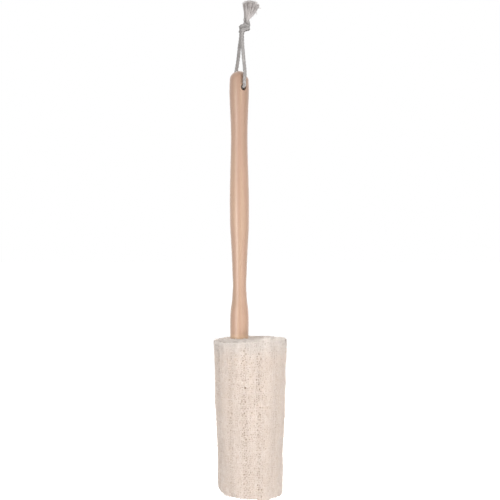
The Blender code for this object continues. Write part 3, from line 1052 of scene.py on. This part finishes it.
# Out from the mid line, height, the X of the mid line, and how far the direction out is turned, in degrees.
LOOP_ROUTE = (
    (0.0, -51.5, -2.5, 30.0), (3.8, -51.5, -2.5, 30.0), (7.4, -51.5, -2.5, 30.0), (9.7, -50.9, -2.45, 30.0),
    (11.3, -49.3, -2.4, 26.6), (12.0, -47.0, -2.35, 24.7), (11.8, -43.4, -2.15, 25.3),
    (11.0, -39.6, -1.7, 26.2), (9.75, -35.2, -1.3, 25.8), (8.1, -29.0, -1.0, 24.3), (6.5, -22.7, -0.82, 23.2),
    (4.2, -12.8, -0.65, 22.4), (2.65, -6.0, -0.3, 22.0), (2.0, -2.5, -0.1, 22.0),
)
# The front strand runs straight up through the knot, and the back one is wound round it.
FRONT_KNOT = (
    (0.9, -1.5, 0.6), (1.7, -0.5, 2.8), (2.5, 0.3, 5.2), (3.0, 0.9, 7.6), (3.4, 1.5, 10.2), (3.45, 1.7, 12.6),
    (3.4, 1.75, 14.6),
)
BACK_KNOT = (
    (-0.65, 1.6, 0.7), (-0.95, 0.2, 2.0), (0.2, -2.4, 2.6), (2.65, -3.5, 3.4), (5.1, -2.5, 4.1),
    (6.1, 0.0, 4.6), (5.0, 2.45, 4.8), (2.65, 3.45, 5.0), (0.3, 2.4, 5.3), (-0.75, 0.0, 5.7),
    (0.2, -2.4, 6.1), (2.3, -3.4, 6.7), (4.6, -2.9, 6.9), (6.15, -1.8, 7.5), (6.1, -1.3, 9.6),
    (5.5, -1.6, 12.6),
)


def cord_route(side, knot):
    """The whole route of one half of the cord, from the middle of the hole to where its end unravels."""
    route = []
    for out, z, lean, degrees in LOOP_ROUTE:
        turn = math.radians(degrees)
        route.append(np.array([lean + side * out * math.sin(turn), -side * out * math.cos(turn), z]))
    return np.array(route + [np.array(p) for p in knot]) * MM


def knot_swell(points):
    """The cord lies looser and fuller inside the knot."""
    height = points[:, 2] / MM
    return 1 + 0.23 * np.clip((height - 0.2) / 2.0, 0, 1) * np.clip((10.5 - height) / 2.5, 0, 1)


def cord_surface(points):
    """The radius of a three-strand twisted cord at each point and side, with the yarns' ridges."""
    step = np.linalg.norm(points[1] - points[0])
    travelled = np.arange(len(points))[:, None] * step
    angle = math.tau * np.arange(CORD_SIDES)[None, :] / CORD_SIDES
    local = (angle - math.tau * travelled / LAY_LENGTH) % (math.tau / 3) - math.pi / 3
    reach = STRAND_OFFSET * np.cos(local) + np.sqrt(STRAND_RADIUS**2 - (STRAND_OFFSET * np.sin(local)) ** 2)
    about = np.arctan2(reach * np.sin(local), reach * np.cos(local) - STRAND_OFFSET)
    ridges = 0.045 * MM * np.cos(6 * about + math.tau * travelled / (2.6 * MM))
    return reach + ridges


def cord_fuzz(name, route, rng, count):
    """Fine loose hairs along a cord."""
    tubes = Tubes()
    t = np.linspace(0, 1, 5)[:, None]
    for _ in range(count):
        i = rng.integers(2, len(route) - 2)
        tangent = unit(route[i + 1] - route[i - 1])
        out = rng.normal(0, 1, 3)
        out = unit(out - tangent * (out @ tangent))
        length = rng.uniform(0.5, 1.5) * MM
        drift = tangent * rng.normal(0, 0.9) * length * t**1.5
        points = route[i] + out * (1.3 * MM + length * t * 0.8) + drift
        tubes.add(points, 0.045 * MM * (1.2 - t[:, 0]), tangent, 3)
    return tubes.piece(name)


def loose_yarn(tubes, rng, base, up, end, late):
    """One yarn from a cord's end to its own end. It leaves upward, and leans over later for a larger late."""
    lift = end - base
    middle = base + lift * 0.55
    middle[:2] = base[:2] + lift[:2] * (0.55 - late)
    points = through([base, base + up * 2.0 * MM, middle, end], YARN_STEP)
    t = np.linspace(0, 1, len(points))
    wave = np.sin(t * rng.uniform(6, 12) + rng.uniform(0, 6)) * t
    points = points + np.outer(wave * 0.12 * MM, unit(rng.normal(0, 1, 3)))
    around = 3 * math.tau * np.arange(YARN_SIDES)[None, :] / YARN_SIDES
    twist = 4.5 * np.linalg.norm(lift) * t[:, None] / MM
    radii = rng.uniform(0.31, 0.45) * MM * (1.0 - 0.3 * t[:, None] ** 3) * (1 + 0.12 * np.cos(around + twist))
    tubes.add(points, radii, carried_normals(points, YARN_SIDEWAYS), YARN_SIDES)
    return points


def split_end(tubes, rng, yarn):
    """Fine hairs that come off the last stretch of a yarn."""
    tip = unit(yarn[-1] - yarn[-4])
    s = np.linspace(0, 1, 5)[:, None]
    for _ in range(SPLIT_ENDS):
        first = yarn[-1 - rng.integers(0, 14)]
        heading = unit(tip + rng.normal(0, 0.5, 3))
        length = rng.uniform(0.8, 2.4) * MM
        hair = first + heading * length * s + np.array([0, 0, -0.3]) * length * s**2
        tubes.add(hair, 0.08 * MM * (1.15 - 0.8 * s[:, 0]), [0.2, 0.9, 0.3], 3)


def frayed_yarns(name, start, up, targets, strays, late, rng):
    """A tuft: yarns that leave a cord's end together and fan out to their targets, each with split ends."""
    tubes = Tubes()
    for stray in strays:
        points = through(np.array([start / MM - up, *stray]) * MM, YARN_STEP)
        tubes.add(points, 0.24 * MM, carried_normals(points, YARN_SIDEWAYS), YARN_SIDES)
    for target in targets:
        off = rng.normal(0, 1, 3)
        off = unit(off - up * (off @ up)) * rng.uniform(0.1, 1.3) * MM
        yarn = loose_yarn(tubes, rng, start + off - up * 2.6 * MM, up, np.array(target) * MM, late)
        split_end(tubes, rng, yarn)
    return tubes.piece(name)


# The outline that the loose yarns fan out to, as X and height, from its left tip over the top to its right.
CAP_OUTLINE = (
    (0.9, 28.4), (1.5, 29.8), (3.0, 30.8), (6.0, 31.0), (9.0, 30.9), (12.0, 30.8), (14.2, 30.0), (15.6, 28.4),
    (16.6, 26.6), (15.8, 24.6), (14.2, 22.8), (12.8, 21.4), (11.2, 19.2),
)
TUFT_STEM = np.array([5.0, 17.0])
# Single yarns that stray from the tufts.
LEFT_STRAYS = (((4.2, 1.0, 18.0), (8.0, 0.2, 22.5), (13.6, -0.3, 24.3), (18.4, -0.6, 23.7)),)
RIGHT_STRAYS = (
    ((7.2, -2.4, 18.2), (10.4, -3.2, 21.4), (12.9, -3.6, 21.6), (13.9, -3.6, 19.6), (14.3, -3.5, 17.2)),
)


def fan(rng, count, first, last, depth):
    """Ends for the yarns of a tuft, spread along part of the outline and a little inside it."""
    outline_points = np.array(CAP_OUTLINE)
    found = []
    for k in range(count):
        place = first + (last - first) * (k + rng.uniform(0, 1)) / count
        place = place * (len(outline_points) - 1)
        i = min(int(place), len(outline_points) - 2)
        edge = outline_points[i] + (outline_points[i + 1] - outline_points[i]) * (place - i)
        x, z = TUFT_STEM + (edge - TUFT_STEM) * (1 - 0.32 * rng.random() ** 1.6)
        found.append((x, depth + rng.normal(0, 1.5), z))
    return found


def make_half(rng, name, side, knot, replaced, twisted, loose, tuft):
    """One half of the cord, with its hairs and the yarns that come loose at its end."""
    which, targets, strays, late, tuft_node = tuft
    route = through(cord_route(side, knot), CORD_STEP)
    tubes = Tubes()
    radii = cord_surface(route) * knot_swell(route)[:, None]
    tubes.add(route, radii, carried_normals(route, np.array([0.0, 0.0, 1.0])), CORD_SIDES)
    cord = finish_piece(tubes.piece(name), CORD_BODY, twisted, replaced)
    fuzz = cord_fuzz(f"cord_fuzz_{which}", route, rng, 260)
    finish_piece(fuzz, CORD_BODY, twisted)
    heading = unit(route[-1] - route[-6])
    tuft = frayed_yarns(f"frayed_yarns_{which}", route[-1], heading, targets, strays, late, rng)
    finish_piece(tuft, CORD_BODY, loose, [tuft_node])


def make_cord():
    front = cotton("cotton_cord_front", (0.32, 0.302, 0.293), (0.445, 0.424, 0.416))
    # Painted shade: the back half is the same cotton painted darker, as the shade it lies in.
    back = cotton("cotton_cord_back_painted_shade", (0.28, 0.266, 0.258), (0.40, 0.382, 0.375))
    loose = cotton("cotton_yarn", (0.505, 0.468, 0.455), (0.635, 0.597, 0.585))
    rng = np.random.default_rng(71)
    left = ("left", fan(rng, 62, 0.0, 0.72, 1.2), LEFT_STRAYS, 0.22, "frayed_end_left")
    right = ("right", fan(rng, 78, 0.15, 1.0, -1.6), RIGHT_STRAYS, 0.0, "frayed_end_right")
    make_half(rng, "cord_front_half", 1, FRONT_KNOT, ["cord_loop", "cord_tail_left"], front, loose, left)
    make_half(rng, "cord_back_half", -1, BACK_KNOT, ["cord_knot", "cord_tail_right"], back, loose, right)


def finish_glue():
    amber = glue()
    for name in ("glue_bead_upper", "glue_bead_lower"):
        bead = frame["nodes"][name]
        bead.data.materials.clear()
        bead.data.materials.append(amber)


# ---- camera, lights and floor ----

CAMERA_DISTANCE = 0.95
CAMERA_X = 0.0079
CAMERA_Z = -0.2057


# name, place, width, power, height as a share of the width, and whether shiny surfaces show it
LIGHTS = (
    ("key", (-0.75, -1.02, -0.27), 0.36, 10.6, 1.8, True),
    ("fill", (0.88, -1.08, -0.32), 0.9, 18.0, 1.0, False),
    ("back", (-0.5, 1.6, 0.15), 1.2, 24.0, 1.0, False),
    ("top", (0.25, 0.35, 1.0), 0.8, 9.0, 1.0, False),
)
LIT_POINT = Vector((0.0, 0.0, -0.30))
WORLD_LIGHT = 0.36
WORLD_SHINE = 1.6
FLOOR_SIZE = 30.0
FLOOR_DROP = 0.16


def make_camera():
    data = bpy.data.cameras.new("camera")
    data.lens = 72
    data.sensor_width = 36
    data.clip_start = 0.01
    data.clip_end = 100
    camera = add_object("camera", data)
    camera.location = (CAMERA_X, -CAMERA_DISTANCE, CAMERA_Z)
    camera.rotation_euler = (math.radians(90), 0, 0)
    bpy.context.scene.camera = camera


def make_light(name, place, size, power, tall, shine):
    data = bpy.data.lights.new(name, "AREA")
    data.shape = "RECTANGLE"
    data.size = size
    data.size_y = size * tall
    data.energy = power
    light = add_object(name, data)
    light.location = place
    light.rotation_euler = (LIT_POINT - Vector(place)).to_track_quat("-Z", "Y").to_euler()
    light.visible_glossy = shine


def make_world():
    """A white ground that lights the object softly, and is a little brighter in shiny surfaces."""
    bpy.context.scene.world = bpy.data.worlds.new("studio")
    w = Shader(bpy.context.scene.world, "Background", Color=(1, 1, 1, 1))
    rays = w.node("ShaderNodeLightPath").outputs
    shine = w.maths("MULTIPLY", rays["Is Glossy Ray"], WORLD_SHINE)
    seen = w.maths("MAXIMUM", rays["Is Camera Ray"], shine)
    w.link(w.maths("MAXIMUM", seen, WORLD_LIGHT), w.shader.inputs["Strength"])


def make_floor():
    size, z = FLOOR_SIZE, cad_low[2] - FLOOR_DROP
    corners = [(-size, -size, z), (size, -size, z), (size, size, z), (-size, size, z)]
    floor = add_mesh("floor", corners, [(0, 1, 2, 3)])
    glow = {"Emission_Color": (1, 1, 1, 1), "Emission_Strength": 0.75}
    dull = {"Roughness": 1.0, "Specular_IOR_Level": 0.0}
    pale = material("pale_floor", Base_Color=(0.9, 0.9, 0.9, 1), **dull, **glow)
    floor.data.materials.append(pale.owner)
    floor.visible_diffuse = False
    floor.visible_glossy = False


make_camera()
make_cord()
make_stick()
make_loofah()
finish_glue()
make_world()
make_floor()
for light in LIGHTS:
    make_light(*light)
bpy.context.scene.view_settings.view_transform = "Standard"
